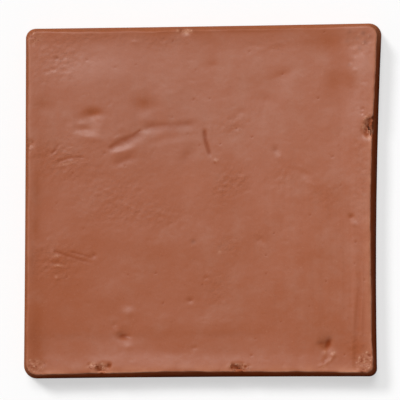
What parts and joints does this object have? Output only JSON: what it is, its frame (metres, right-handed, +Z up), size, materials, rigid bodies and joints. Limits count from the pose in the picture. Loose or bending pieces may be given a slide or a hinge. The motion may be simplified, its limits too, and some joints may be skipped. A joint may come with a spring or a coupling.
{
  "type": "terracotta floor tile",
  "caption": "Square hand-pressed terracotta floor tile with drafted sides, round corners, a soft chipped rim and a dished, dented face.",
  "frame": {"origin": "middle of the tile on its bed face, the flat underside", "axes": "+Z up out of the pressed face, +X to the right and +Y to the back of the tile as it is seen from above in the picture"},
  "size_m": [0.2032, 0.2018, 0.0201],
  "materials": {
    "fired_clay": "unglazed fired clay, orange to mauve brown, matt with a faint hand-smoothed sheen"
  },
  "bodies": {
    "root": {"terracotta_tile": "fired_clay"}
  },
  "joints": []
}
